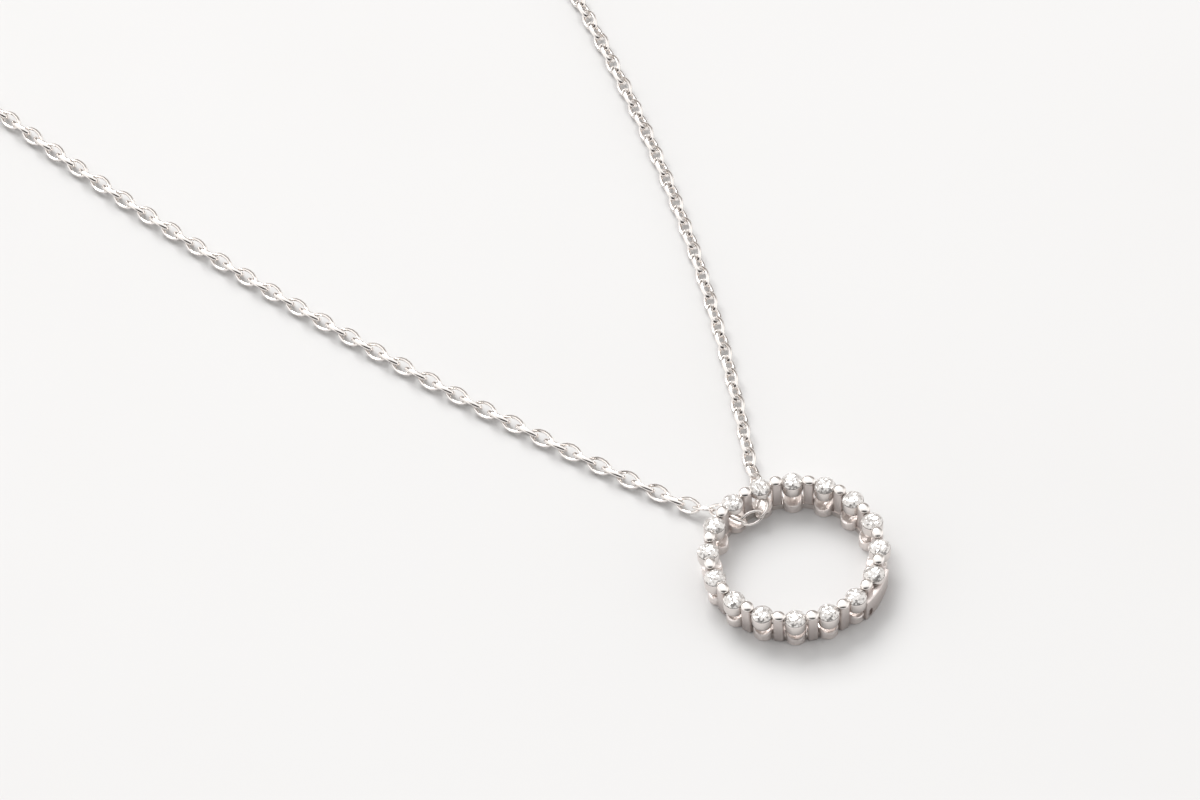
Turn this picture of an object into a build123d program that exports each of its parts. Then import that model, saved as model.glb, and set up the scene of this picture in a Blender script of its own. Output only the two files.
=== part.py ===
# Open circle pendant of sixteen round stones on a fine cable chain, closed by a round clasp.
# Millimetres, +Z up. The necklace lies on a surface at Z = 0 and +Y runs from pendant to clasp.
import os
from math import asin, cos, degrees, pi, radians, sin, sqrt, tan

from build123d import *

os.makedirs("parts", exist_ok=True)

# Stones: round brilliants, all alike
stone_count = 16
stone_spacing = 2.263  # between the centres of two neighbours
stone_diameter = 1.45
table_share = 0.57  # table width over the stone's diameter
girdle_thickness = 0.05
crown_angle = 34.5
star_angle = 22.0
upper_half_angle = 42.0
pavilion_angle = 40.75
lower_half_angle = 42.3
girdle_height = 2.41  # middle of the girdle over the surface

# Cups that the stones sit in
cup_wall = 0.025  # past the stone's edge
seat_clearance = 0.05
bowl_gap = 0.35  # from the saddle up to the bowl's round bottom
collar_height = 0.41  # of the short cups, which leave the way open below them

# Posts between the stones, leaning outward, each with an oval pillow-shaped bead on top
post_gap = 0.04  # between a post and the cups beside it
post_depth = 0.70
post_foot_shift = -0.10  # middle of the post's foot past the stones' circle
post_head_shift = 0.01
post_corner = 0.12
bead_overhang = 0.11  # past each side of the post
bead_depth = 0.78
bead_thickness = 0.34
bead_rounding = 0.15
bead_rise = 0.27  # bead's centre over the girdle
bead_seat = 0.11  # post's top under the bead's centre

# Lower rail: a round foot under each stone with a saddle-shaped top, and the ties between them
foot_inset = 0.22  # feet's circle inside the stones' circle
foot_gap = 0.03  # between a foot and the posts beside it
foot_height = 0.95
saddle_height = 0.65  # lowest line of the saddle
saddle_wall = 0.06  # beside the saddle
tie_thickness = 0.5
lower_tie_height = 0.5
upper_tie_thickness = 0.36
upper_tie_height = 0.24

# Plain plate that closes one setting on the outside
plate_place = 7  # counted clockwise from the chain's post
plate_foot_shift = 0.66  # outer face past the stones' circle
plate_head_shift = 0.76
plate_thickness = 0.5
plate_drop = 0.46  # plate's top under the girdle
plate_span = 29.0  # degrees
plate_turn = 5.25  # degrees from its setting's middle
plate_hole_width = 0.28
plate_hole_height = 0.75
plate_hole_depth = 0.3
plate_hole_level = 0.55
plate_hole_turn = 10.5  # degrees from the plate's middle

# Cable chain: oval links, each turned a quarter against the next
link_length = 1.80
link_width = 1.12
link_wire = 0.22
link_clearance = 0.17
link_roll = 45.0

# The chain's way through the two settings beside the post at +Y
bail_gap = 0.08  # between the post's inner face and the link that crosses it
bail_rise = 0.83  # that link's middle over the saddles
bail_shift = -0.365
bail_turn = (-12.7, 2.2, 44.8)  # heading, climb and roll
left_thread = [(125.7, -3.8, -51.6), (108.1, -15.1, 43.8), (127.9, -26.1, -42.7)]
right_thread = [(33.0, -3.1, -48.7), (65.2, -4.1, 32.3), (78.2, -24.4, -45.0)]
left_landing = (121.6, 47.5)  # heading and roll of the link that comes down to the surface
right_landing = (69.0, 44.7)

# The chain's route on the surface from the pendant to the clasp, measured from the pendant's centre
left_route = [
    (-5.65, 13.79), (-10.40, 24.80), (-15.30, 37.90), (-19.65, 51.24), (-23.50, 66.05),
    (-26.80, 82.20), (-29.20, 98.95), (-30.50, 116.25), (-30.60, 133.55), (-29.20, 150.30),
    (-25.70, 165.45), (-19.80, 178.25), (-13.50, 186.00),
]
right_route = [
    (5.03, 14.10), (9.57, 25.20), (13.22, 36.63), (16.04, 48.30), (18.30, 60.30),
    (20.10, 75.70), (21.20, 92.45), (21.60, 109.75), (21.30, 127.05), (20.10, 144.35),
    (17.20, 160.05), (12.40, 173.45), (7.50, 183.10),
]
left_front_links = 52  # links past the landing that are made one by one
right_front_links = 37
tube_gap = 0.18  # between the links and the round body that stands for the rest

# Clasp: round, with an eyelet, and a ring on each end of the chain
clasp_middle = (-4.0, 189.6)
clasp_diameter = 4.0  # rings are measured through the middle of their wire
clasp_wire = 0.64
stub_diameter = 0.42
stub_length = 1.3
stub_turn = 62.0
eyelet_diameter = 1.3
eyelet_wire = 0.34
clasp_bite = 0.12
left_ring_diameter = 2.0
left_ring_wire = 0.36
right_ring_diameter = 1.7
right_ring_wire = 0.3

# Sizes that follow
stone_radius = stone_diameter / 2
stone_step = 360 / stone_count
half_step = radians(stone_step / 2)
ring_radius = stone_spacing / 2 / sin(half_step)
cup_radius = stone_radius + cup_wall
girdle_top = girdle_height + girdle_thickness / 2
girdle_bottom = girdle_height - girdle_thickness / 2
bowl_level = saddle_height + bowl_gap + cup_radius
post_width = 2 * (ring_radius * sin(half_step) - cup_radius - post_gap)
bead_width = post_width + 2 * bead_overhang
bead_height = girdle_height + bead_rise
post_height = bead_height - bead_seat
plate_height = girdle_height - plate_drop
foot_place = ring_radius - foot_inset
foot_radius = foot_place * sin(half_step) - post_width / 2 - foot_gap
saddle_radius = foot_radius - saddle_wall
link_pitch = link_length - 2 * link_wire - link_clearance
chain_height = (link_width - link_wire) * sin(radians(link_roll)) + link_wire
chain_axis = chain_height / 2
link_reach = (link_length - link_pitch) / 2


def turned(shape, radius, angle):
    """The shape moved out along X by the radius and turned about the pendant's centre."""
    return Rot(0, 0, angle) * Pos(radius, 0, 0) * shape


def setting_angle(place):
    return 90 - stone_step * (place - 0.5)


def post_angle(place):
    return 90 - stone_step * place


def seat_height(radius):
    """Height of the seat's cone at a radius from the stone's axis."""
    return girdle_bottom - seat_clearance + (radius - stone_radius) * tan(radians(pavilion_angle))


# Stones
def facet(gem, angle, slope, radius, height, side):
    lean = radians(slope)
    turn = radians(angle)
    outward = (sin(lean) * cos(turn), sin(lean) * sin(turn), side * cos(lean))
    plane = Plane(origin=(radius * cos(turn), radius * sin(turn), height), z_dir=outward)
    return split(gem, plane, keep=Keep.BOTTOM)


def brilliant():
    table_radius = stone_radius * table_share
    crown_height = (stone_radius - table_radius) * tan(radians(crown_angle))
    table_level = girdle_top + crown_height
    flat_radius = stone_radius * cos(radians(11.25))
    blank_depth = stone_diameter
    gem = Pos(0, 0, girdle_bottom - blank_depth) * extrude(
        RegularPolygon(stone_radius, 16, rotation=0), blank_depth + table_level - girdle_bottom
    )
    for i in range(16):
        gem = facet(gem, 11.25 + 22.5 * i, upper_half_angle, flat_radius, girdle_top, 1)
        gem = facet(gem, 11.25 + 22.5 * i, lower_half_angle, flat_radius, girdle_bottom, -1)
    for i in range(8):
        gem = facet(gem, 45 * i, crown_angle, stone_radius, girdle_top, 1)
        gem = facet(gem, 45 * i, pavilion_angle, stone_radius, girdle_bottom, -1)
        gem = facet(gem, 22.5 + 45 * i, star_angle, table_radius * cos(radians(22.5)), table_level, 1)
    return gem.solid()


# Pendant frame
def cup(short):
    rim = seat_height(cup_radius)
    if short:
        foot = girdle_height - collar_height
        inner = cup_radius - 0.3
        with_seat = Polyline((inner, foot), (cup_radius, foot), (cup_radius, rim),
                             (inner, seat_height(inner)), close=True)
        section = make_face(Plane.XZ * with_seat)
    else:
        wall = Line((cup_radius, bowl_level), (cup_radius, rim))
        cone = Polyline((cup_radius, rim), (0, seat_height(0)), (0, bowl_level - cup_radius))
        round_bottom = CenterArc((0, bowl_level), cup_radius, -90, 90)
        section = make_face(Plane.XZ * (wall + cone + round_bottom))
    return revolve(section, Axis.Z, 360)


def stone_seat():
    """Room for a stone, cut from everything under its girdle."""
    room = Polyline((0, seat_height(0)), (stone_radius, seat_height(stone_radius)),
                    (stone_radius, girdle_bottom), (0, girdle_bottom), close=True)
    return revolve(make_face(Plane.XZ * room), Axis.Z, 360)


def post():
    foot_middle = ring_radius + post_foot_shift
    head_middle = ring_radius + post_head_shift
    side = Polyline((foot_middle - post_depth / 2, 0), (foot_middle + post_depth / 2, 0),
                    (head_middle + post_depth / 2, post_height),
                    (head_middle - post_depth / 2, post_height), close=True)
    body = extrude(make_face(Plane.XZ * side), post_width / 2, both=True)
    uprights = body.edges().filter_by(lambda edge: abs(edge.tangent_at(0.5).Z) > 0.9)
    body = fillet(uprights, post_corner)
    bead = extrude(Ellipse(bead_depth / 2, bead_width / 2), bead_thickness / 2, both=True)
    bead = fillet(bead.edges().filter_by(GeomType.ELLIPSE), bead_rounding)
    return body + Pos(ring_radius, 0, bead_height) * bead


def foot():
    drum = Cylinder(foot_radius, foot_height, align=(Align.CENTER, Align.CENTER, Align.MIN))
    saddle = Pos(0, 0, saddle_height + saddle_radius) * Rot(0, 90, 0)
    return drum - saddle * Cylinder(saddle_radius, 4 * foot_radius)


def tie(middle_radius, thickness, bottom, height):
    outer = Cylinder(middle_radius + thickness / 2, height)
    inner = Cylinder(middle_radius - thickness / 2, 2 * height)
    return Pos(0, 0, bottom + height / 2) * (outer - inner)


def plate():
    foot_face = ring_radius + plate_foot_shift
    head_face = ring_radius + plate_head_shift
    side = Polyline((foot_face - plate_thickness, 0), (foot_face, 0), (head_face, plate_height),
                    (head_face - plate_thickness, plate_height), close=True)
    band = Rot(0, 0, -plate_span / 2) * revolve(make_face(Plane.XZ * side), Axis.Z, plate_span)
    slot = SlotOverall(plate_hole_height, plate_hole_width, rotation=90)
    hole = Pos(foot_face - plate_hole_depth, 0, 0) * extrude(Plane.YZ * slot, plate_thickness)
    band -= Rot(0, 0, -plate_hole_turn) * Pos(0, 0, plate_hole_level) * hole
    return Rot(0, 0, setting_angle(plate_place) - plate_turn) * band


def ring_frame():
    pieces = [tie(foot_place, tie_thickness, 0, lower_tie_height)]
    upper_tie_bottom = seat_height(stone_radius) - cup_wall - upper_tie_height
    pieces.append(tie(ring_radius, upper_tie_thickness, upper_tie_bottom, upper_tie_height))
    for place in range(1, stone_count + 1):
        short = place in (1, stone_count, plate_place)
        angle = setting_angle(place)
        pieces.append(turned(cup(short), ring_radius, angle))
        pieces.append(turned(foot(), foot_place, angle))
        pieces.append(turned(post(), 0, post_angle(place)))
    pieces.append(plate())
    frame = pieces[0].fuse(*pieces[1:])
    seats = [turned(stone_seat(), ring_radius, setting_angle(place))
             for place in range(1, stone_count + 1)]
    return frame.cut(*seats)


# Chain
def chain_link():
    """One link, its length along X and its opening facing Z."""
    line = SlotOverall(link_length - link_wire, link_width - link_wire).face().outer_wire()
    section = Plane(origin=line @ 0, z_dir=line % 0) * Circle(link_wire / 2)
    return sweep(section, path=line)


def link_place(start, end, roll):
    along = (end - start).normalized()
    up = (Vector(0, 0, 1) - along * along.Z).normalized()
    side = along.cross(up)
    facing = up * cos(radians(roll)) + side * sin(radians(roll))
    return Plane(origin=(start + end) / 2, x_dir=along, z_dir=facing).location


def step(joint, heading, climb):
    run = link_pitch * cos(radians(climb))
    turn = radians(heading)
    return joint + Vector(run * cos(turn), run * sin(turn), link_pitch * sin(radians(climb)))


def thread(joint, links, landing):
    """Joints and rolls from the bail link out through a setting and down to the surface."""
    joints = [joint]
    for heading, climb, roll in links:
        joints.append(step(joints[-1], heading, climb))
    drop = degrees(asin((chain_axis - joints[-1].Z) / link_pitch))
    joints.append(step(joints[-1], landing[0], drop))
    return joints, [roll for heading, climb, roll in links] + [landing[1]]


def route(points):
    """Straight runs joined by arcs as large as the runs allow."""
    runs = [b - a for a, b in zip(points, points[1:])]
    radii = []
    for first, second in zip(runs, runs[1:]):
        shorter = min(first.length, second.length)
        radii.append(0.45 * shorter / tan(radians(first.get_angle(second) / 2)))
    return FilletPolyline(*points, radius=radii), radii


def chain_joints(path, count):
    """Joints a pitch apart along the path, without its first."""
    return [path.position_at(i * link_pitch, position_mode=PositionMode.LENGTH)
            for i in range(1, count + 1)]


def chain_tube(path, count):
    """A round body as thick as the chain, from the last single link to the clasp's link."""
    first = (count * link_pitch + link_reach + tube_gap) / path.length
    last = 1 - (link_reach + tube_gap) / path.length
    run = path.trim(first, last)
    section = Plane(origin=run @ 0, z_dir=run % 0) * Circle(chain_axis)
    tube = sweep(section, path=run)
    print("tube volume", round(tube.volume, 3), "section times length",
          round(pi * chain_axis**2 * run.length, 3))
    return tube.solid()


# Clasp and the two end rings, laid out along X from the clasp's middle
def ring_height(diameter, wire):
    return diameter / 2 * sin(radians(link_roll)) + wire / 2


def end_ring(middle, diameter, wire):
    return middle * Rot(link_roll, 0, 0) * Torus(diameter / 2, wire / 2)


def last_link(ring_side, ring_wire, outward):
    """The joint that the chain ends at and the link that hangs the end ring on it."""
    overlap = (link_wire + ring_wire) / 2 + link_clearance
    reach = (link_length - link_wire + link_pitch) / 2 - overlap
    drop = chain_axis - ring_side.Z
    joint = ring_side + Vector(outward * sqrt(reach**2 - drop**2), 0, drop)
    along = (joint - ring_side).normalized()
    return joint, joint - along * link_pitch


def clasp_body(left_level, right_level):
    """Round clasp with a trigger stub and an eyelet, from one end's level down to the other's."""
    eyelet_place = (clasp_diameter + clasp_wire + eyelet_diameter) / 2 - clasp_bite
    body = Torus(clasp_diameter / 2, clasp_wire / 2)
    body += Pos(eyelet_place, 0, 0) * Torus(eyelet_diameter / 2, eyelet_wire / 2)
    stub = Pos((clasp_diameter + stub_length) / 2, 0, 0) * Rot(0, 90, 0)
    body += Rot(0, 0, stub_turn) * stub * Cylinder(stub_diameter / 2, stub_length)
    span = clasp_diameter / 2 + eyelet_place + eyelet_diameter / 2
    lean = degrees(asin((left_level - right_level) / span))
    level = left_level - (left_level - right_level) * clasp_diameter / 2 / span
    half = clasp_diameter / 2 * cos(radians(lean))
    far = (span - clasp_diameter / 2) * cos(radians(lean))
    return Pos(0, 0, level) * Rot(0, lean, 0) * body.solid(), -half, far


left_level = ring_height(left_ring_diameter, left_ring_wire)
right_level = ring_height(right_ring_diameter, right_ring_wire)
clasp, hook_place, eye_place = clasp_body(left_level, right_level)
left_grip = (clasp_wire + left_ring_wire) / 2 + link_clearance
right_grip = (eyelet_wire + right_ring_wire) / 2 + link_clearance
left_middle = hook_place + left_grip - left_ring_diameter / 2
right_middle = eye_place - right_grip + right_ring_diameter / 2
left_ring = end_ring(Pos(left_middle, 0, left_level), left_ring_diameter, left_ring_wire)
right_ring = end_ring(Pos(right_middle, 0, right_level), right_ring_diameter, right_ring_wire)
left_side = Vector(left_middle - left_ring_diameter / 2, 0, left_level)
right_side = Vector(right_middle + right_ring_diameter / 2, 0, right_level)
left_end, left_link_end = last_link(left_side, left_ring_wire, -1)
right_end, right_link_end = last_link(right_side, right_ring_wire, 1)
link = chain_link()
left_last = link.moved(link_place(left_end, left_link_end, -link_roll))
right_last = link.moved(link_place(right_link_end, right_end, -link_roll))
clasp_place = Pos(*clasp_middle, 0)
left_end = Vector(*clasp_middle) + left_end
right_end = Vector(*clasp_middle) + right_end

# Chain round the pendant's post and along the surface
post_lean = (post_head_shift - post_foot_shift) * (saddle_height + bail_rise) / post_height
post_face = ring_radius + post_foot_shift + post_lean - post_depth / 2
bail_middle = Vector(bail_shift, post_face - bail_gap - chain_axis, saddle_height + bail_rise)
half_bail = step(Vector(0, 0, 0), bail_turn[0], bail_turn[1]) / 2
sides = []
for start, links_out, landing, points, end, count in (
    (bail_middle - half_bail, left_thread, left_landing, left_route, left_end, left_front_links),
    (bail_middle + half_bail, right_thread, right_landing, right_route, right_end,
     right_front_links),
):
    joints, rolls = thread(start, links_out, landing)
    floor_points = [Vector(x, y, chain_axis) for x, y in points]
    path, radii = route([joints[-1]] + floor_points + [end])
    print("route radii", [round(radius, 1) for radius in radii])
    loop_length = link_pitch * len(rolls) + path.length
    joints += chain_joints(path, count)
    rolls += [link_roll if index % 2 else -link_roll for index in range(count)]
    sides.append((joints, rolls, chain_tube(path, count), loop_length))

left_joints, left_rolls, left_tube, left_length = sides[0]
right_joints, right_rolls, right_tube, right_length = sides[1]
joints = left_joints[::-1] + right_joints
rolls = left_rolls[::-1] + [bail_turn[2]] + right_rolls
links = [link.moved(link_place(start, end, roll))
         for start, end, roll in zip(joints, joints[1:], rolls)]
total = left_length + right_length + link_pitch + (right_end - left_end).length
print("links", len(links), "necklace length", round(total, 2))

pieces = {
    "ring_frame": ring_frame(),
    "chain_front": Compound(children=links),
    "chain_back": Compound(children=[left_tube, clasp_place * left_last,
                                     clasp_place * right_last, right_tube]),
    "clasp": clasp_place * clasp,
    "end_ring_left": clasp_place * left_ring,
    "end_ring_right": clasp_place * right_ring,
}
stone = brilliant()
for place in range(1, stone_count + 1):
    pieces[f"stone_{place:02d}"] = turned(stone, ring_radius, setting_angle(place))

# The origin is under the middle of the whole necklace
boxes = [piece.bounding_box() for piece in pieces.values()]
low = [min(tuple(box.min)[axis] for box in boxes) for axis in range(3)]
high = [max(tuple(box.max)[axis] for box in boxes) for axis in range(3)]
middle = Pos(-(low[0] + high[0]) / 2, -(low[1] + high[1]) / 2, -low[2])
print("pendant's centre", [round(value, 4) for value in middle.position])
print("size", [round(b - a, 3) for a, b in zip(low, high)])
for name, piece in pieces.items():
    export_step(middle * piece, f"parts/{name}.step")
    print(name, "volume", round(piece.volume, 3))
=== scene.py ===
# Open circle pendant of sixteen round stones on a fine cable chain, lying on a pale surface.
from math import asin, atan2, cos, degrees, pi, radians, sin, sqrt, tan

import bmesh
import bpy
from mathutils import Matrix, Vector


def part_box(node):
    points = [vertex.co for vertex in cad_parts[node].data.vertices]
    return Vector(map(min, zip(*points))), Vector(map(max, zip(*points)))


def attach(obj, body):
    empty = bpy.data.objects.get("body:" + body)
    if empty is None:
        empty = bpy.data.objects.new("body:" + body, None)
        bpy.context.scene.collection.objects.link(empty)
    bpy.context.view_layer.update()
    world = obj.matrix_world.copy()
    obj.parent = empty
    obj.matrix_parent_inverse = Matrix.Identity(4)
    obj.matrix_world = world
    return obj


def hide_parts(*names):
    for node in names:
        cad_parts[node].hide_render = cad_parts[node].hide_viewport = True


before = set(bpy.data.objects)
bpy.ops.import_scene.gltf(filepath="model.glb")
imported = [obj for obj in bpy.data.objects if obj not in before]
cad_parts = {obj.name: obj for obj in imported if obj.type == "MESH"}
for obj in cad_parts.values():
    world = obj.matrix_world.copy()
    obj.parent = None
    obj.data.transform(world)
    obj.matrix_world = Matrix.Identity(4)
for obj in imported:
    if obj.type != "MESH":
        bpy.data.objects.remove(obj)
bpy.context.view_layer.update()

mm = 0.001  # the pieces' settings are in millimetres and degrees
ringLow, ringHigh = (Vector(corner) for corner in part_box("ring_frame"))
pendantCentre = Vector(((ringLow.x + ringHigh.x) / 2, (ringLow.y + ringHigh.y) / 2, 0))


def place(x, y, z=0.0):
    # millimetres from the pendant's centre, as a point of the frame
    return pendantCentre + Vector((x, y, z)) * mm


# Camera, at the photograph's angle
view = {"x": -119.354, "y": -181.253, "z": 294.375, "turn": -30.114, "down": 51.675,
        "roll": -4.377, "lens": 161.1}

cameraData = bpy.data.cameras.new("camera")
cameraData.sensor_width = 36
cameraData.lens = view["lens"]
cameraData.clip_start = 0.01
cameraData.clip_end = 20
camera = bpy.data.objects.new("camera", cameraData)
camera.matrix_world = (
    Matrix.Translation(place(view["x"], view["y"], view["z"]))
    @ Matrix.Rotation(radians(view["turn"]), 4, "Z")
    @ Matrix.Rotation(radians(90 - view["down"]), 4, "X")
    @ Matrix.Rotation(radians(view["roll"]), 4, "Z"))
bpy.context.collection.objects.link(camera)
bpy.context.scene.camera = camera
print("camera placed")


# Materials
class Value:
    # a socket that works in sums, products and powers as a number does
    def __init__(self, material, socket):
        self.material = material
        self.socket = socket

    def math(self, operation, first, second):
        return self.material.node("ShaderNodeMath", {"operation": operation}, {0: first, 1: second})

    def __add__(self, other):
        return self.math("ADD", self, other)

    def __radd__(self, other):
        return self.math("ADD", other, self)

    def __sub__(self, other):
        return self.math("SUBTRACT", self, other)

    def __rsub__(self, other):
        return self.math("SUBTRACT", other, self)

    def __mul__(self, other):
        return self.math("MULTIPLY", self, other)

    def __rmul__(self, other):
        return self.math("MULTIPLY", other, self)

    def __pow__(self, other):
        return self.math("POWER", self, other)


class Nodes:
    # a node tree to which nodes are added by name
    def __init__(self, tree):
        self.tree = tree

    def feed(self, socket, value):
        if isinstance(value, Value):
            self.tree.links.new(value.socket, socket)
        else:
            socket.default_value = value

    def node(self, kind, settings, sockets, output=0):
        made = self.tree.nodes.new(kind)
        for name, setting in settings.items():
            setattr(made, name, setting)
        for socket, value in sockets.items():
            self.feed(made.inputs[socket], value)
        return Value(self, made.outputs[output])

    def vector(self, operation, first, second):
        return self.node("ShaderNodeVectorMath", {"operation": operation}, {0: first, 1: second})

    def noise(self, point, scale, detail=3.0):
        return self.node("ShaderNodeTexNoise", {}, {"Vector": point, "Scale": scale, "Detail": detail})

    def stretched(self, point, scale):
        return self.node("ShaderNodeMapping", {}, {"Vector": point, "Scale": scale})

    def mixColours(self, mask, first, second):
        return self.node("ShaderNodeMix", {"data_type": "RGBA"},
                         {"Factor": mask, 6: first, 7: second}, 2)


class Finish(Nodes):
    # a material with one Principled shader
    def __init__(self, name, sockets):
        self.material = bpy.data.materials.new(name)
        self.material.use_nodes = True
        super().__init__(self.material.node_tree)
        self.shader = self.tree.nodes["Principled BSDF"]
        for socket, value in sockets.items():
            self.set(socket, value)

    def set(self, socket, value):
        self.feed(self.shader.inputs[socket], value)

    def objectPoint(self):
        return self.node("ShaderNodeTexCoord", {}, {}, "Object")

    def bump(self, height, strength, distance):
        self.set("Normal", self.node("ShaderNodeBump", {},
                                     {"Height": height, "Strength": strength, "Distance": distance}))


def dimmed(tone, share):
    return tuple(part * share for part in tone[:3]) + (1.0,)


# Noise scales are features for each metre; bump depths are metres
polished = {"cloudScale": 900.0, "fineScale": 6000.0, "dim": 0.93, "depth": 0.00002}
satin = {"cloudScale": 700.0, "dim": 0.92, "roughness": 0.30, "spread": 0.16}


def polishedMetal(name, tone, roughness, spread, dents):
    finish = Finish(name, {"Metallic": 1.0})
    point = finish.objectPoint()
    cloud = finish.noise(point, polished["cloudScale"])
    fine = finish.noise(point, polished["fineScale"], 2.0)
    finish.set("Roughness", roughness + spread * (cloud * 0.6 + fine * 0.4 - 0.5))
    finish.set("Base Color", finish.mixColours(cloud, dimmed(tone, polished["dim"]), tone))
    finish.bump(fine * 0.3 + cloud, dents, polished["depth"])
    return finish.material


def satinMetal(name, tone, grainScale, strength, depth):
    finish = Finish(name, {"Metallic": 1.0})
    point = finish.objectPoint()
    grain = finish.noise(finish.stretched(point, grainScale), 1.0, 2.0)
    cloud = finish.noise(point, satin["cloudScale"])
    finish.set("Roughness", satin["roughness"] + satin["spread"] * grain)
    finish.set("Base Color", finish.mixColours(cloud, dimmed(tone, satin["dim"]), tone))
    finish.bump(grain, strength, depth)
    return finish.material


# The pendant is one silver, given a tone for each part by how light falls on it: painted shade darkens
# the bowls, collars and ties, and the posts and plate more, against the lighter beads and feet.
paintedShadeTone = (0.78, 0.73, 0.70, 1.0)
brightTone = (0.93, 0.89, 0.86, 1.0)
ringPolishAndShade = polishedMetal("ringPolishAndShade", paintedShadeTone, roughness=0.20, spread=0.12, dents=0.25)
beadPolish = polishedMetal("beadPolish", brightTone, roughness=0.24, spread=0.16, dents=1.0)
chainPolish = polishedMetal("chainPolish", brightTone, roughness=0.12, spread=0.10, dents=0.35)
# satin silver for the posts and the plate, its tone darkened as painted shade
postSatinAndShade = satinMetal("postSatinAndShade", (0.71, 0.65, 0.625, 1.0), grainScale=(9000.0, 9000.0, 1400.0),
                       strength=0.25, depth=0.00001)
footSatin = satinMetal("footSatin", (0.92, 0.86, 0.83, 1.0), grainScale=(4500.0, 4500.0, 6500.0),
                       strength=1.0, depth=0.00005)

facets = {"scale": 7000.0, "lean": (0.64, 0.64, 0.64)}


def stoneMaterial():
    # bright stone whose inner facets turn the light this way and that in small cells
    finish = Finish("stoneClear", {"Base Color": (0.855, 0.825, 0.798, 1.0), "Roughness": 0.02,
                                   "IOR": 2.2, "Metallic": 0.45, "Transmission Weight": 0.3})
    point = finish.objectPoint()
    cells = finish.node("ShaderNodeTexVoronoi", {"feature": "F1"},
                        {"Vector": point, "Scale": facets["scale"]}, "Color")
    outward = finish.node("ShaderNodeNewGeometry", {}, {}, "Normal")
    lean = finish.vector("SUBTRACT", cells, (0.5, 0.5, 0.5))
    tilted = finish.vector("ADD", outward, finish.vector("MULTIPLY", lean, facets["lean"]))
    finish.set("Normal", finish.node("ShaderNodeVectorMath", {"operation": "NORMALIZE"},
                                     {0: tilted}))
    return finish.material


stoneClear = stoneMaterial()


# Mesh helpers
def spun(profile, steps, closed):
    # a profile of radius and height in millimetres, turned all the way round the Z axis
    bm = bmesh.new()
    corners = [bm.verts.new((radius * mm, 0, height * mm)) for radius, height in profile]
    pairs = list(zip(corners, corners[1:] + corners[:1])) if closed else list(zip(corners, corners[1:]))
    edges = [bm.edges.new(pair) for pair in pairs]
    bmesh.ops.spin(bm, geom=corners + edges, cent=(0, 0, 0), axis=(0, 0, 1), angle=2 * pi,
                   steps=steps, use_merge=True, use_duplicate=False)
    bmesh.ops.remove_doubles(bm, verts=bm.verts, dist=0.5e-6)
    bmesh.ops.recalc_face_normals(bm, faces=bm.faces)
    return bm


def sharpEdges(bm, angle):
    return [edge for edge in bm.edges
            if len(edge.link_faces) == 2 and edge.calc_face_angle() > radians(angle)]


def rounded(bm, edges, offset, segments):
    bmesh.ops.bevel(bm, geom=edges, offset=offset * mm, offset_type="OFFSET", segments=segments,
                    profile=0.5, affect="EDGES", material=-1, clamp_overlap=True)


def finishedMesh(bm, name):
    mesh = bpy.data.meshes.new(name)
    bm.to_mesh(mesh)
    bm.free()
    return mesh


def gather(target, mesh, matrix, material=0):
    # adds a copy of the mesh, put in place
    firstVertex = len(target.verts)
    firstFace = len(target.faces)
    target.from_mesh(mesh)
    target.verts.ensure_lookup_table()
    target.faces.ensure_lookup_table()
    bmesh.ops.transform(target, matrix=matrix, verts=target.verts[firstVertex:])
    for face in target.faces[firstFace:]:
        face.material_index = material
        face.smooth = True


def addPiece(name, bm, materials, replaced, sharpAngle=35):
    mesh = finishedMesh(bm, name)
    mesh.set_sharp_from_angle(angle=radians(sharpAngle))
    for material in materials:
        mesh.materials.append(material)
    piece = bpy.data.objects.new(name, mesh)
    bpy.context.collection.objects.link(piece)
    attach(piece, "root")
    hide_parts(*replaced)


def atAngle(angle, radius=0.0):
    return (Matrix.Translation(pendantCentre) @ Matrix.Rotation(radians(angle), 4, "Z")
            @ Matrix.Translation((radius * mm, 0, 0)))


# Pendant frame: cups, posts with beads, feet, the ties and the plain plate
ring = {"stones": 16, "radius": 5.8, "openPlaces": (1, 16), "platePlace": 7}
step = 360 / ring["stones"]

cup = {"radius": 0.75, "rim": 2.365, "bowl": 1.75, "seatInset": 0.05, "seatDrop": 0.02,
       "seatSlope": 40.75, "collarFoot": 1.95, "collarHole": 0.45, "lip": 0.02}
post = {"width": 0.72, "depth": 0.70, "height": 2.57, "footShift": -0.10, "lean": 0.11,
        "corner": 0.15}
bead = {"across": 0.92, "deep": 0.82, "thickness": 0.45, "height": 2.60, "unlike": 0.03,
        "unlikeRate": 2.4}
foot = {"inset": 0.22, "radius": 0.72, "height": 0.95, "saddle": 0.65, "saddleRadius": 0.66,
        "openRadius": 0.80, "edge": 0.12, "chamfer": 0.05, "bentFrom": 0.57}
tie = {"lowerWidth": 0.5, "lowerHeight": 0.5, "upperWidth": 0.36, "upperFoot": 2.0,
       "upperHeight": 0.26}
plate = {"foot": 0.66, "head": 0.76, "thickness": 0.5, "height": 1.95, "span": 29.0, "turn": -5.25,
         "holeWidth": 0.40, "holeHeight": 0.80, "holeDepth": 0.3, "holeLevel": 0.55,
         "holeTurn": -10.5, "edge": 0.05}


def settingAngle(number):
    return 90 - step * (number - 0.5)


def rimProfile(hole):
    # the wall's top with its rounded lip, and the seat that slopes down to the hole
    radius, rim, lip = cup["radius"], cup["rim"], cup["lip"]
    inner, seat = radius - cup["seatInset"], rim - cup["seatDrop"]
    return [(radius, rim - lip), (radius - lip * 0.3, rim - lip * 0.3), (radius - lip, rim),
            (inner, seat), (hole, seat - (inner - hole) * tan(radians(cup["seatSlope"])))]


def bowlMesh():
    turns = [radians(-90 + 90 * i / 9) for i in range(10)]
    profile = [(cup["radius"] * cos(turn), cup["bowl"] + cup["radius"] * sin(turn)) for turn in turns]
    return finishedMesh(spun(profile + rimProfile(0.0), 36, False), "bowl")


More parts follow.
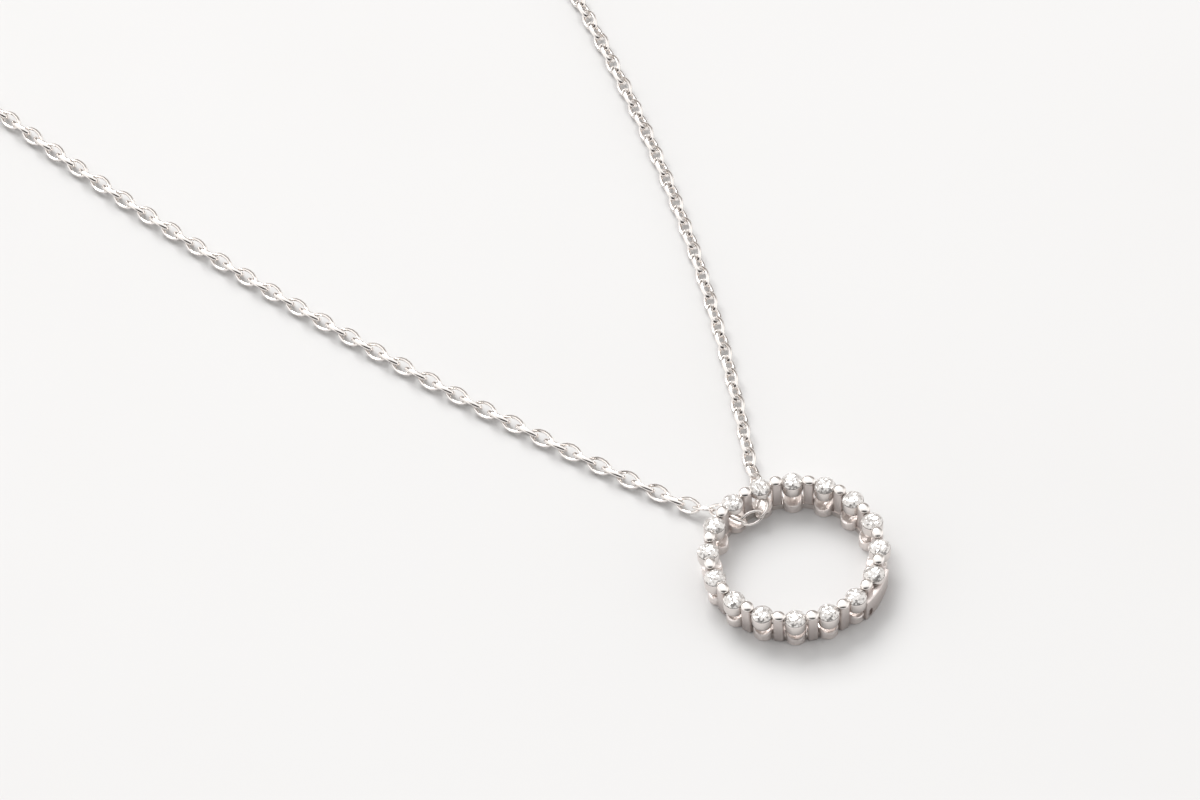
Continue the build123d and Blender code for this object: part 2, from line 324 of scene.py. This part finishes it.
def collarMesh():
    radius, lip, hole, bottom = cup["radius"], cup["lip"], cup["collarHole"], cup["collarFoot"]
    profile = [(hole, bottom), (radius - lip, bottom), (radius, bottom + lip)]
    return finishedMesh(spun(profile + rimProfile(hole), 36, True), "collar")


def postMesh():
    bm = bmesh.new()
    bmesh.ops.create_cube(bm, size=1)
    bmesh.ops.translate(bm, vec=(0, 0, 0.5), verts=bm.verts)
    bmesh.ops.scale(bm, vec=Vector((post["depth"], post["width"], post["height"])) * mm,
                    verts=bm.verts)
    top = [vert for vert in bm.verts if vert.co.z > post["height"] * mm / 2]
    bmesh.ops.translate(bm, vec=(post["lean"] * mm, 0, 0), verts=top)
    rounded(bm, list(bm.edges), post["corner"], 3)
    bmesh.ops.translate(bm, vec=((ring["radius"] + post["footShift"]) * mm, 0, 0), verts=bm.verts)
    return finishedMesh(bm, "post")


def beadMesh():
    # a flattened oval bead over the post's end
    bm = bmesh.new()
    bmesh.ops.create_uvsphere(bm, u_segments=28, v_segments=16, radius=0.5 * mm)
    bmesh.ops.scale(bm, vec=(bead["deep"], bead["across"], bead["thickness"]), verts=bm.verts)
    return finishedMesh(bm, "bead")


def footMesh(saddleRadius):
    # a round block with a rolled rim, its top bent into a saddle
    radius, height, edge = foot["radius"], foot["height"], foot["edge"]
    saddleMiddle = foot["saddle"] + foot["saddleRadius"]
    turns = [radians(90 * i / 5) for i in range(6)]
    chamfer = foot["chamfer"]
    profile = [(0.0, 0.0), (radius - chamfer, 0.0), (radius, chamfer), (radius, height / 2)]
    profile += [(radius - edge + edge * cos(turn), height - edge + edge * sin(turn)) for turn in turns]
    profile += [((radius - edge) * i / 6, height) for i in range(5, -1, -1)]
    bm = spun(profile, 48, False)
    for vert in bm.verts:
        if vert.co.z > foot["bentFrom"] * mm:
            across = min(abs(vert.co.y) / mm, saddleRadius * 0.999)  # the rim may be wider
            saddle = saddleMiddle - sqrt(saddleRadius ** 2 - across ** 2)
            vert.co.z -= max(height - saddle, 0) * mm
    return finishedMesh(bm, "foot")


def tieMesh(name, middle, width, bottom, height):
    profile = [(middle - width / 2, bottom), (middle + width / 2, bottom),
               (middle + width / 2, bottom + height), (middle - width / 2, bottom + height)]
    return finishedMesh(spun(profile, 128, True), name)


def plateMesh():
    # a curved strip with one oval hole, cut by a short rod
    outer = ring["radius"]
    bm = bmesh.new()
    corners = [bm.verts.new((radius * mm, 0, height * mm)) for radius, height in (
        (outer + plate["foot"] - plate["thickness"], 0), (outer + plate["foot"], 0),
        (outer + plate["head"], plate["height"]),
        (outer + plate["head"] - plate["thickness"], plate["height"]))]
    edges = [bm.edges.new(pair) for pair in zip(corners, corners[1:] + corners[:1])]
    start = Matrix.Rotation(radians(-plate["span"] / 2), 4, "Z")
    bmesh.ops.transform(bm, matrix=start, verts=bm.verts)
    bmesh.ops.spin(bm, geom=corners + edges, cent=(0, 0, 0), axis=(0, 0, 1),
                   angle=radians(plate["span"]), steps=24, use_duplicate=False)
    bmesh.ops.holes_fill(bm, edges=[edge for edge in bm.edges if edge.is_boundary], sides=4)
    bmesh.ops.recalc_face_normals(bm, faces=bm.faces)
    rounded(bm, sharpEdges(bm, 50), plate["edge"], 3)
    strip = bpy.data.objects.new("strip", finishedMesh(bm, "strip"))
    rod = bmesh.new()
    bmesh.ops.create_cone(rod, cap_ends=True, segments=24, radius1=0.5, radius2=0.5, depth=1)
    bmesh.ops.scale(rod, vec=Vector((plate["holeHeight"], plate["holeWidth"], 1.0)) * mm,
                    verts=rod.verts)
    bottom = outer + plate["foot"] - plate["holeDepth"]
    turn = (Matrix.Rotation(radians(plate["holeTurn"]), 4, "Z")
            @ Matrix.Translation(Vector((bottom + 0.5, 0, plate["holeLevel"])) * mm)
            @ Matrix.Rotation(pi / 2, 4, "Y"))
    bmesh.ops.transform(rod, matrix=turn, verts=rod.verts)
    cutter = bpy.data.objects.new("cutter", finishedMesh(rod, "cutter"))
    for helper in (strip, cutter):
        bpy.context.collection.objects.link(helper)
    cut = strip.modifiers.new("hole", "BOOLEAN")
    cut.operation = "DIFFERENCE"
    cut.solver = "EXACT"
    cut.object = cutter
    drawn = strip.evaluated_get(bpy.context.evaluated_depsgraph_get())
    mesh = bpy.data.meshes.new_from_object(drawn)
    for helper in (strip, cutter):
        bpy.data.objects.remove(helper)
    return mesh


def buildRing():
    bm = bmesh.new()
    bowl, collar, upright, pillow = bowlMesh(), collarMesh(), postMesh(), beadMesh()
    base, openBase = footMesh(foot["saddleRadius"]), footMesh(foot["openRadius"])
    for number in range(1, ring["stones"] + 1):
        angle = settingAngle(number)
        short = number in ring["openPlaces"] or number == ring["platePlace"]
        gather(bm, collar if short else bowl, atAngle(angle, ring["radius"]))
        gather(bm, openBase if number in ring["openPlaces"] else base,
               atAngle(angle, ring["radius"] - foot["inset"]), 3)
        postAngle = 90 - step * number
        gather(bm, upright, atAngle(postAngle), 1)
        unlike = bead["unlike"] * sin(number * bead["unlikeRate"])
        shape = Matrix.Diagonal((1 + unlike, 1 - unlike, 1 + unlike, 1))
        lift = Matrix.Translation((0, 0, bead["height"] * mm))
        gather(bm, pillow, atAngle(postAngle, ring["radius"]) @ lift @ shape, 2)
    centre = Matrix.Translation(pendantCentre)
    gather(bm, tieMesh("lowerTie", ring["radius"] - foot["inset"], tie["lowerWidth"], 0,
                       tie["lowerHeight"]), centre)
    gather(bm, tieMesh("upperTie", ring["radius"], tie["upperWidth"], tie["upperFoot"],
                       tie["upperHeight"]), centre)
    gather(bm, plateMesh(), atAngle(settingAngle(ring["platePlace"]) + plate["turn"]), 1)
    addPiece("ringFrame", bm, [ringPolishAndShade, postSatinAndShade, beadPolish, footSatin],
             ["ring_frame"])


buildRing()
print("pendant frame built")

for name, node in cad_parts.items():
    if name.startswith("stone_"):
        node.data.materials.clear()
        node.data.materials.append(stoneClear)
print("stones finished")

# Chain: oval links, each turned a quarter against the next
chain = {"length": 1.92, "width": 1.20, "wire": 0.23, "wireHeight": 0.29, "square": 1.12,
         "endRadius": 0.33, "pitch": 1.19, "tautPitch": 1.245, "axisLift": 0.21, "ringPlay": 0.15,
         "roll": 45.0, "sway": 3.0, "swayRate": 1.7, "swayFrom": 2, "swayOver": 4}
slimLink = {"length": 1.79, "width": 1.11, "wire": 0.21, "wireHeight": 0.21, "square": 1.0,
            "endRadius": 0.31, "threaded": 3, "atClasp": 4}  # used where the links turn sharply
bail = {"middle": (-0.27, 4.64, 1.14), "heading": -8.3, "climb": -2.6, "roll": 58.1}

# Each arm goes out from the link behind the post: the heading, climb and roll of the links
# in the settings, the heading of the link that comes down, and the way on the surface
leftArm = {
    "side": -1, "frontLinks": 56, "lean": -10.0, "landing": 119.0,
    "thread": [(121.9, 12.3, -37.4), (117.1, -16.3, 45.5), (123.0, -14.5, -45.0)],
    "route": [(-5.65, 13.79), (-10.40, 24.80), (-15.30, 37.90), (-19.65, 51.24), (-23.50, 66.05),
              (-26.80, 82.20), (-29.20, 98.95), (-30.50, 116.25), (-30.60, 133.55),
              (-29.20, 150.30), (-25.70, 165.45), (-19.80, 178.25), (-15.60, 186.20),
              (-11.60, 189.10)]}
rightArm = {
    "side": 1, "frontLinks": 41, "lean": 0.0, "landing": 66.0,
    "thread": [(44.1, 10.9, -31.1), (72.7, -7.8, 51.8), (71.7, -15.8, -43.9)],
    "route": [(5.03, 14.10), (9.57, 25.20), (13.22, 36.63), (16.04, 48.30), (18.30, 60.30),
              (20.10, 75.70), (21.20, 92.45), (21.60, 109.75), (21.30, 127.05), (20.10, 144.35),
              (17.20, 160.05), (12.40, 173.45), (8.30, 183.60), (5.00, 188.70)]}
axisHeight = (chain["width"] - chain["wire"]) / 2 * sin(radians(chain["roll"])) + chain["axisLift"]


def linkMesh(name, size, wireSides, endSteps, sideSteps):
    # a round section spun through the four arcs of an oval
    bm = bmesh.new()
    endRadius = size["endRadius"]
    reach = (size["length"] - size["wire"]) / 2 - endRadius
    rise = (size["width"] - size["wire"]) / 2 - endRadius
    drop = (reach ** 2 - rise ** 2) / (2 * rise)
    sideTurn = 2 * atan2(reach, drop)
    made = bmesh.ops.create_circle(bm, cap_ends=False, segments=wireSides,
                                   radius=size["wire"] / 2 * mm)
    for vert in made["verts"]:
        # the round section drawn out toward a square
        vert.co *= min(size["square"], size["wire"] / 2 * mm / max(abs(vert.co.x), abs(vert.co.y)))
    start = (Matrix.Translation((reach * mm, 0, 0)) @ Matrix.Rotation((sideTurn - pi) / 2, 4, "Z")
             @ Matrix.Translation((endRadius * mm, 0, 0)) @ Matrix.Rotation(pi / 2, 4, "X")
             @ Matrix.Diagonal((1, size["wireHeight"] / size["wire"], 1, 1))
             @ Matrix.Rotation(pi / wireSides, 4, "Z"))
    bmesh.ops.transform(bm, matrix=start, verts=made["verts"])
    moving = list(bm.edges)
    for centre, angle, steps in (((reach, 0), pi - sideTurn, endSteps),
                                 ((0, -drop), sideTurn, sideSteps),
                                 ((-reach, 0), pi - sideTurn, endSteps),
                                 ((0, drop), sideTurn, sideSteps)):
        turned = bmesh.ops.spin(bm, geom=moving, cent=(centre[0] * mm, centre[1] * mm, 0),
                                axis=(0, 0, 1), angle=angle, steps=steps, use_duplicate=False)
        moving = [part for part in turned["geom_last"] if isinstance(part, bmesh.types.BMEdge)]
    bmesh.ops.remove_doubles(bm, verts=bm.verts, dist=2e-6)
    bmesh.ops.recalc_face_normals(bm, faces=bm.faces)
    return finishedMesh(bm, name)


def linkPlace(start, end, roll):
    along = (end - start).normalized()
    up = (Vector((0, 0, 1)) - along * along.z).normalized()
    side = along.cross(up)
    facing = up * cos(radians(roll)) + side * sin(radians(roll))
    across = facing.cross(along)
    matrix = Matrix((along, across, facing)).transposed().to_4x4()
    matrix.translation = (start + end) / 2
    return matrix


def onward(joint, heading, climb):
    run = chain["tautPitch"] * cos(radians(climb))
    turn = radians(heading)
    return joint + Vector((run * cos(turn), run * sin(turn),
                           chain["tautPitch"] * sin(radians(climb)))) * mm


def threadJoints(joint, links, landing):
    joints = [joint]
    for heading, climb, _ in links:
        joints.append(onward(joints[-1], heading, climb))
    drop = degrees(asin((axisHeight - joints[-1].z / mm) / chain["tautPitch"]))
    joints.append(onward(joints[-1], landing, drop))
    return joints


def routeLine(points):
    # the smooth line that the chosen points guide
    curve = bpy.data.curves.new("route", "CURVE")
    curve.dimensions = "3D"
    curve.resolution_u = 40
    spline = curve.splines.new("NURBS")
    spline.points.add(len(points) - 1)
    for target, point in zip(spline.points, points):
        target.co = (*point, 1)
    spline.order_u = 3
    spline.use_endpoint_u = True
    helper = bpy.data.objects.new("route", curve)
    bpy.context.collection.objects.link(helper)
    drawn = helper.evaluated_get(bpy.context.evaluated_depsgraph_get())
    mesh = bpy.data.meshes.new_from_object(drawn)
    line = [vert.co.copy() for vert in mesh.vertices]
    bpy.data.meshes.remove(mesh)
    bpy.data.objects.remove(helper)
    return line


def walked(line, pitch):
    # points along the line, each one pitch from the last
    joints = [line[0]]
    index = 1
    while index < len(line):
        last = joints[-1]
        if (line[index] - last).length < pitch:
            index += 1
            continue
        before, after = line[index - 1], line[index]
        low, high = 0.0, 1.0
        for _ in range(30):
            middle = (low + high) / 2
            if (before.lerp(after, middle) - last).length < pitch:
                low = middle
            else:
                high = middle
        joints.append(before.lerp(after, high))
    return joints


def beyond(line, length):
    # the part of the line past a length of it
    used = 0.0
    for index, (a, b) in enumerate(zip(line, line[1:])):
        if used >= length:
            return line[index:]
        used += (b - a).length
    return line[-1:]


def spread(line, count):
    # the line's whole length in equal steps
    low, high = 0.9 * chain["pitch"] * mm, 1.1 * chain["pitch"] * mm
    for _ in range(24):
        middle = (low + high) / 2
        if len(walked(line, middle)) > count:
            low = middle
        else:
            high = middle
    print("hidden links", count, "pitch", round(low / mm, 4))
    return walked(line, low)[:count + 1]


# Clasp and end rings, laid out along X from the clasp's middle
clasp = {"x": -4.0, "y": 189.6, "diameter": 4.0, "wire": 0.64, "stub": 0.42, "stubLength": 1.3,
         "stubTurn": 62.0, "eyelet": 1.3, "eyeletWire": 0.34, "bite": 0.12, "play": 0.1,
         "stubEdge": 0.06}
leftRing = {"diameter": 2.0, "wire": 0.36}
rightRing = {"diameter": 1.7, "wire": 0.30}


def torusMesh(name, diameter, wire, steps, sides):
    turns = [2 * pi * i / sides for i in range(sides)]
    profile = [(diameter / 2 + wire / 2 * cos(turn), wire / 2 * sin(turn)) for turn in turns]
    return finishedMesh(spun(profile, steps, True), name)


def ringLevel(endRing):
    return endRing["diameter"] / 2 * sin(radians(chain["roll"])) + endRing["wire"] / 2


eyeletOffset = (clasp["diameter"] + clasp["wire"] + clasp["eyelet"]) / 2 - clasp["bite"]
claspSpan = clasp["diameter"] / 2 + eyeletOffset + clasp["eyelet"] / 2
leftLevel, rightLevel = ringLevel(leftRing), ringLevel(rightRing)
claspLean = asin((leftLevel - rightLevel) / claspSpan)
claspLevel = leftLevel - (leftLevel - rightLevel) * clasp["diameter"] / 2 / claspSpan
hookPlace = -clasp["diameter"] / 2 * cos(claspLean)
eyePlace = (claspSpan - clasp["diameter"] / 2) * cos(claspLean)
leftGrip = (clasp["wire"] + leftRing["wire"]) / 2 + clasp["play"]
rightGrip = (clasp["eyeletWire"] + rightRing["wire"]) / 2 + clasp["play"]
leftMiddle = hookPlace + leftGrip - leftRing["diameter"] / 2
rightMiddle = eyePlace - rightGrip + rightRing["diameter"] / 2


def atClasp(x, z):
    return place(clasp["x"] + x, clasp["y"], z)


def lastLink(ringSide, ringWire, outward):
    # where the chain ends, and the inner end of the link that holds the end ring
    overlap = (slimLink["wire"] + ringWire) / 2 + chain["ringPlay"]
    reach = (slimLink["length"] - slimLink["wire"] + chain["pitch"]) / 2 - overlap
    drop = axisHeight - ringSide.z / mm
    joint = ringSide + Vector((outward * sqrt(reach ** 2 - drop ** 2), 0, drop)) * mm
    along = (joint - ringSide).normalized()
    return joint, joint - along * chain["pitch"] * mm


def buildClasp():
    bm = bmesh.new()
    body = Matrix.Translation(atClasp(0, claspLevel)) @ Matrix.Rotation(claspLean, 4, "Y")
    gather(bm, torusMesh("hoop", clasp["diameter"], clasp["wire"], 64, 20), body)
    gather(bm, torusMesh("eyelet", clasp["eyelet"], clasp["eyeletWire"], 36, 14),
           body @ Matrix.Translation((eyeletOffset * mm, 0, 0)))
    stub = bmesh.new()
    bmesh.ops.create_cone(stub, cap_ends=True, segments=24, radius1=clasp["stub"] / 2 * mm,
                          radius2=clasp["stub"] / 2 * mm, depth=clasp["stubLength"] * mm)
    rounded(stub, sharpEdges(stub, 50), clasp["stubEdge"], 3)
    reach = (clasp["diameter"] + clasp["stubLength"]) / 2
    gather(bm, finishedMesh(stub, "stub"),
           body @ Matrix.Rotation(radians(clasp["stubTurn"]), 4, "Z")
           @ Matrix.Translation((reach * mm, 0, 0)) @ Matrix.Rotation(pi / 2, 4, "Y"))
    addPiece("claspBody", bm, [chainPolish], ["clasp"])
    for name, endRing, middle, level in (("left", leftRing, leftMiddle, leftLevel),
                                         ("right", rightRing, rightMiddle, rightLevel)):
        bm = bmesh.new()
        gather(bm, torusMesh("endRing", endRing["diameter"], endRing["wire"], 40, 14),
               Matrix.Translation(atClasp(middle, level))
               @ Matrix.Rotation(radians(chain["roll"]), 4, "X"))
        addPiece(name + "EndRing", bm, [chainPolish], ["end_ring_" + name])


def armJoints(arm, start, ringSide, endRing):
    # the points where the arm's links meet, and how many of them belong to its front part
    joints = threadJoints(start, arm["thread"], arm["landing"])
    end, innerEnd = lastLink(ringSide, endRing["wire"], arm["side"])
    line = routeLine([joints[-1]] + [place(x, y, axisHeight) for x, y in arm["route"]] + [end])
    pitch = chain["pitch"] * mm
    walk = walked(line, pitch)[:arm["frontLinks"]]
    joints += walk[1:]
    frontCount = len(joints)
    remaining = [walk[-1]] + beyond(line, (len(walk) - 1) * pitch)
    hiddenLength = sum((b - a).length for a, b in zip(remaining, remaining[1:]))
    hiddenCount = round(hiddenLength / pitch)
    if (frontCount - 1 + hiddenCount) % 2 == 0:
        hiddenCount += 1  # so that the last link's roll lets the end ring through
    joints += spread(remaining, hiddenCount)[1:]
    joints[-1] = end
    return joints + [innerEnd], frontCount


def linkRoll(arm, index, inFront):
    if index < len(arm["thread"]):
        return arm["thread"][index][2]
    roll = -chain["roll"] if index % 2 == 0 else chain["roll"]
    if inFront:
        sway = chain["sway"] * sin(index * chain["swayRate"]) + arm["lean"]
        roll += sway * min((index - chain["swayFrom"]) / chain["swayOver"], 1)
    return roll


def buildChain():
    fineLink = linkMesh("fineLink", chain, 10, 6, 4)
    plainLink = linkMesh("plainLink", chain, 6, 4, 3)
    sharpTurnLink = linkMesh("sharpTurnLink", slimLink, 10, 6, 4)
    half = onward(Vector((0, 0, 0)), bail["heading"], bail["climb"]) / 2
    middle = place(*bail["middle"])
    leftSide = atClasp(leftMiddle - leftRing["diameter"] / 2, leftLevel)
    rightSide = atClasp(rightMiddle + rightRing["diameter"] / 2, rightLevel)
    front, back = bmesh.new(), bmesh.new()
    gather(front, sharpTurnLink, linkPlace(middle - half, middle + half, bail["roll"]))
    for arm, start, ringSide, endRing in ((leftArm, middle - half, leftSide, leftRing),
                                          (rightArm, middle + half, rightSide, rightRing)):
        joints, frontCount = armJoints(arm, start, ringSide, endRing)
        for index, (a, b) in enumerate(zip(joints, joints[1:])):
            if arm["side"] < 0:
                a, b = b, a
            inFront = index < frontCount - 1
            shape = fineLink if inFront else plainLink
            if index < slimLink["threaded"] or index >= len(joints) - 1 - slimLink["atClasp"]:
                shape = sharpTurnLink
            gather(front if inFront else back, shape, linkPlace(a, b, linkRoll(arm, index, inFront)))
    addPiece("chainFront", front, [chainPolish], ["chain_front"], 60)
    addPiece("chainBack", back, [chainPolish], ["chain_back"], 60)


buildClasp()
buildChain()
print("chain and clasp built")

# Surface under the necklace
surface = {"metres": 3.0, "tone": (0.706, 0.704, 0.702, 1.0), "shade": (0.67, 0.66, 0.653, 1.0),
           "cloudScale": 25.0}


def buildSurface():
    bm = bmesh.new()
    bmesh.ops.create_grid(bm, x_segments=1, y_segments=1, size=surface["metres"] / 2)
    mesh = finishedMesh(bm, "surface")
    floor = bpy.data.objects.new("surface", mesh)
    bpy.context.collection.objects.link(floor)
    finish = Finish("surfacePaint", {"Roughness": 0.7, "Specular IOR Level": 0.2})
    point = finish.objectPoint()
    cloud = finish.noise(point, surface["cloudScale"], 4.0)
    finish.set("Base Color", finish.mixColours(cloud ** 3.0, surface["tone"], surface["shade"]))
    mesh.materials.append(finish.material)


buildSurface()

# Light: a bright tent, darker toward the camera and along the horizon, and one large soft lamp
keyLamp = {"at": (180, 1080, 1200), "aim": (0, 20), "metres": 0.96, "watts": 19.0,
           "tone": (1.0, 0.995, 0.99)}
tent = {"strength": 1.16, "sky": (1.0, 1.0, 1.0, 1.0),
        "horizon": (0.26, 0.24, 0.225, 1.0), "low": 0.42, "high": 0.82,
        "dark": (0.05, 0.045, 0.045, 1.0), "darkTurn": -120.0, "darkRise": 22.0,
        "darkEdge": 0.55, "darkCore": 0.90,
        "sides": (1.05, 1.03, 1.01, 1.0), "sideTurn": 147.0, "sideEdge": 0.60, "sideCore": 0.85}


def buildLamp():
    data = bpy.data.lights.new("keyLamp", "AREA")
    data.shape = "SQUARE"
    data.size = keyLamp["metres"]
    data.energy = keyLamp["watts"]
    data.color = keyLamp["tone"]
    light = bpy.data.objects.new("keyLamp", data)
    bpy.context.collection.objects.link(light)
    spot = place(*keyLamp["at"])
    aim = (place(*keyLamp["aim"]) - spot).to_track_quat("-Z", "Y").to_matrix().to_4x4()
    light.matrix_world = Matrix.Translation(spot) @ aim


def buildTent():
    world = bpy.data.worlds.new("tent")
    bpy.context.scene.world = world
    world.use_nodes = True
    air = Nodes(world.node_tree)
    away = air.node("ShaderNodeTexCoord", {}, {}, "Generated")

    def toward(turn, rise):
        # how nearly a direction points this way
        level = cos(rise)
        return air.node("ShaderNodeVectorMath", {"operation": "DOT_PRODUCT"},
                        {0: away, 1: (cos(turn) * level, sin(turn) * level, sin(rise))}, "Value")

    def eased(value, low, high):
        return air.node("ShaderNodeMapRange", {"interpolation_type": "SMOOTHSTEP"},
                        {"Value": value, "From Min": low, "From Max": high})

    height = air.node("ShaderNodeSeparateXYZ", {}, {0: away}, 2)
    toSide = air.node("ShaderNodeMath", {"operation": "ABSOLUTE"},
                      {0: toward(radians(tent["sideTurn"]), 0.0)})
    sideways = eased(toSide, tent["sideEdge"], tent["sideCore"])
    around = air.mixColours(sideways, tent["horizon"], tent["sides"])
    overhead = air.mixColours(eased(height, tent["low"], tent["high"]), around, tent["sky"])
    toCamera = toward(radians(tent["darkTurn"]), radians(tent["darkRise"]))
    near = eased(toCamera, tent["darkEdge"], tent["darkCore"])
    background = world.node_tree.nodes["Background"]
    air.feed(background.inputs["Color"], air.mixColours(near, overhead, tent["dark"]))
    background.inputs["Strength"].default_value = tent["strength"]


buildLamp()
buildTent()
bpy.context.scene.view_settings.view_transform = "Standard"
print("light and surface placed")
